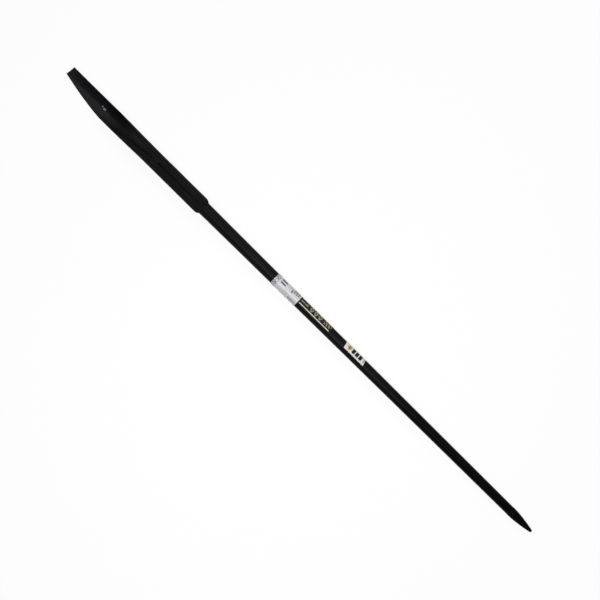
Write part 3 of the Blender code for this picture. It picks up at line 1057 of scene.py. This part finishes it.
class AddLabels(bpy.types.Operator):
    """Adds the three adhesive labels"""

    bl_idname = "digging_bar.add_labels"
    bl_label = "Labels"

    def execute(self, context):
        silver = self.shape_label("silver_wrap_label", **SILVER_LABEL)
        finish_piece(silver, "silver_label", make_silver_film(), sharp_angle=40)
        dark = self.shape_label("dark_label_strip", **DARK_LABEL)
        finish_piece(dark, "dark_label", make_dark_film(), sharp_angle=40)
        white = self.shape_label("white_label_strip", **WHITE_LABEL)
        finish_piece(white, "white_label", make_white_film(), sharp_angle=40)
        return {"FINISHED"}

    def shape_label(self, name, start, length, arc=None, slant=0.0):
        """A film on the tube's taper, cut to its arc and its slanted ends."""
        first, last = start - abs(slant), start + length
        stations = [first + (last - first) * step / LABEL_STEPS for step in range(LABEL_STEPS + 1)]
        label = pull_along_bar(name, [(x, tube_radius(x) + GAP) for x in stations], LABEL_SIDES)
        face_all()
        cuts = []
        if arc is not None:
            low, high = (radians(angle) for angle in arc)
            cuts.append(((0, 0, 0), (0, -cos(low), sin(low))))
            cuts.append(((0, 0, 0), (0, cos(high), -sin(high))))
        if slant:
            reach = tube_radius(start)
            low_side = reach * sin(low)
            slope = slant / (reach * (sin(high) - sin(low)))
            cuts.append(((start, low_side, 0), (-1, slope, 0)))
            cuts.append(((last, low_side, 0), (1, -slope, 0)))
        for spot, outward in cuts:
            bpy.ops.mesh.select_all(action="SELECT")
            bpy.ops.mesh.bisect(plane_co=spot, plane_no=outward, clear_outer=True)
        thicken(label, FILM_THICKNESS, offset=1.0, rim=FILM_RIM, rim_angle=50)
        lay_on_floor(label)
        return label


class AddStudio(bpy.types.Operator):
    """Adds the pale floor, the lamps, the room light and the camera"""

    bl_idname = "digging_bar.add_studio"
    bl_label = "Studio"

    def execute(self, context):
        studio = context.scene.digging_bar_studio
        self.add_floor(studio)
        self.add_lamp("overhead_lamp", studio.overhead_power, **OVERHEAD_LAMP)
        self.add_lamp("side_lamp", studio.side_power, **SIDE_LAMP)
        self.add_room_light(studio)
        self.add_camera(studio)
        context.scene.view_settings.view_transform = "Standard"
        return {"FINISHED"}

    def add_floor(self, studio):
        """A wide flat disc whose rim rises in a smooth bowl."""
        deselect_all()
        rim = studio.floor_radius
        bpy.ops.mesh.primitive_circle_add(
            vertices=FLOOR_SIDES, radius=rim, fill_type="TRIFAN", location=(0, 0, -FLOOR_DROP)
        )
        floor = bpy.context.object
        floor.name = floor.data.name = "studio_floor"
        bpy.ops.object.transform_apply()
        bpy.ops.object.mode_set(mode="EDIT")
        select_where(floor, lambda place: place.length > rim / 2)
        bpy.ops.mesh.select_mode(type="EDGE")
        height, radius = 0.0, rim
        for step in range(1, RIM_STEPS + 1):
            angle = pi / 2 * step / RIM_STEPS
            rise = RIM_BEND * (1 - cos(angle)) - height
            grow = (rim + RIM_BEND * sin(angle)) / radius
            bpy.ops.mesh.extrude_region_move(TRANSFORM_OT_translate={"value": (0, 0, rise)})
            bpy.ops.transform.resize(value=(grow, grow, 1), center_override=(0, 0, height + rise))
            height, radius = height + rise, radius * grow
        bpy.ops.mesh.extrude_region_move(TRANSFORM_OT_translate={"value": (0, 0, RIM_WALL)})
        face_all(inside=True)
        make_active(floor)
        bpy.ops.object.shade_smooth_by_angle(angle=radians(40))
        floor.data.materials.append(self.make_floor_paint())

    def make_floor_paint(self):
        """Pale paint that shows as white to the camera and in gloss, and still takes the shadow."""
        material, shader, place = new_material("pale_floor_paint")
        tree = material.node_tree
        paint = blend(noise({"Place": place}, size=0.6), *FLOOR_SHADES)
        fill(shader.inputs, {"Base Color": paint, "Roughness": 0.9, "Specular IOR Level": 0.0})
        light = add_node("ShaderNodeLightPath", tree=tree)
        seen = largest(light["Is Camera Ray"], light["Is Glossy Ray"], light["Is Transmission Ray"])
        glow = add_node("ShaderNodeEmission", {"Color": (1, 1, 1), "Strength": 1.0}, tree)[0]
        values = {0: seen * FLOOR_GLOW, 1: Wire(shader.outputs[0]), 2: glow}
        mixed = add_node("ShaderNodeMixShader", values)[0]
        fill(tree.nodes["Material Output"].inputs, {"Surface": mixed})
        return material

    def add_lamp(self, name, power, place, size):
        """A soft rectangular lamp, aimed across at the bar."""
        deselect_all()
        bpy.ops.object.light_add(type="AREA", location=place)
        lamp = bpy.context.object
        lamp.name = lamp.data.name = name
        lamp.data.shape = "RECTANGLE"
        lamp.data.size, lamp.data.size_y = size
        lamp.data.energy = power
        aim = Vector((place[0], 0, 0)) - Vector(place)
        lamp.rotation_euler = aim.to_track_quat("-Z", "Y").to_euler()

    def add_room_light(self, studio):
        world = bpy.data.worlds.new("soft_room")
        world.use_nodes = True
        light = {"Color": (1, 1, 1), "Strength": studio.room_light}
        fill(world.node_tree.nodes["Background"].inputs, light)
        bpy.context.scene.world = world

    def add_camera(self, studio):
        """Looks straight down on the bar, as the photograph does."""
        deselect_all()
        place = (CAMERA_X, CAMERA_Y, studio.camera_height)
        bpy.ops.object.camera_add(location=place, rotation=(0, 0, studio.camera_turn))
        camera = bpy.context.object
        camera.name = camera.data.name = "photograph_camera"
        camera.data.type = "PERSP"
        camera.data.sensor_width = 36.0
        camera.data.lens = studio.lens
        bpy.context.scene.camera = camera
        deselect_all()


class DiggingBarPanel(bpy.types.Panel):
    """Lists the bar's pieces and the studio, with their sizes and colours"""

    bl_idname = "VIEW3D_PT_digging_bar"
    bl_label = "Digging bar"
    bl_space_type = "VIEW_3D"
    bl_region_type = "UI"
    bl_category = "Digging bar"

    def draw(self, context):
        layout = self.layout
        for operator in OPERATORS:
            layout.operator(operator.bl_idname)
        for settings, kind in SETTINGS.items():
            box = layout.box()
            for name in kind.__annotations__:
                box.prop(getattr(context.scene, settings), name)


OPERATORS = (AddBlade, AddTube, AddPoint, AddWelds, AddLabels, AddStudio)
SETTINGS = {
    "digging_bar_sizes": BarSizes,
    "digging_bar_finishes": BarFinishes,
    "digging_bar_studio": StudioSettings,
}
CLASSES = (*SETTINGS.values(), *OPERATORS, DiggingBarPanel)


def register():
    for made in CLASSES:
        bpy.utils.register_class(made)
    for name, kind in SETTINGS.items():
        setattr(bpy.types.Scene, name, bpy.props.PointerProperty(type=kind))


def unregister():
    for name in SETTINGS:
        delattr(bpy.types.Scene, name)
    for made in reversed(CLASSES):
        bpy.utils.unregister_class(made)


def main():
    register()
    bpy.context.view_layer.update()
    make_shared_groups()
    bpy.ops.digging_bar.add_blade()
    bpy.ops.digging_bar.add_tube()
    bpy.ops.digging_bar.add_point()
    bpy.ops.digging_bar.add_welds()
    bpy.ops.digging_bar.add_labels()
    bpy.ops.digging_bar.add_studio()


if __name__ == "__main__":
    main()
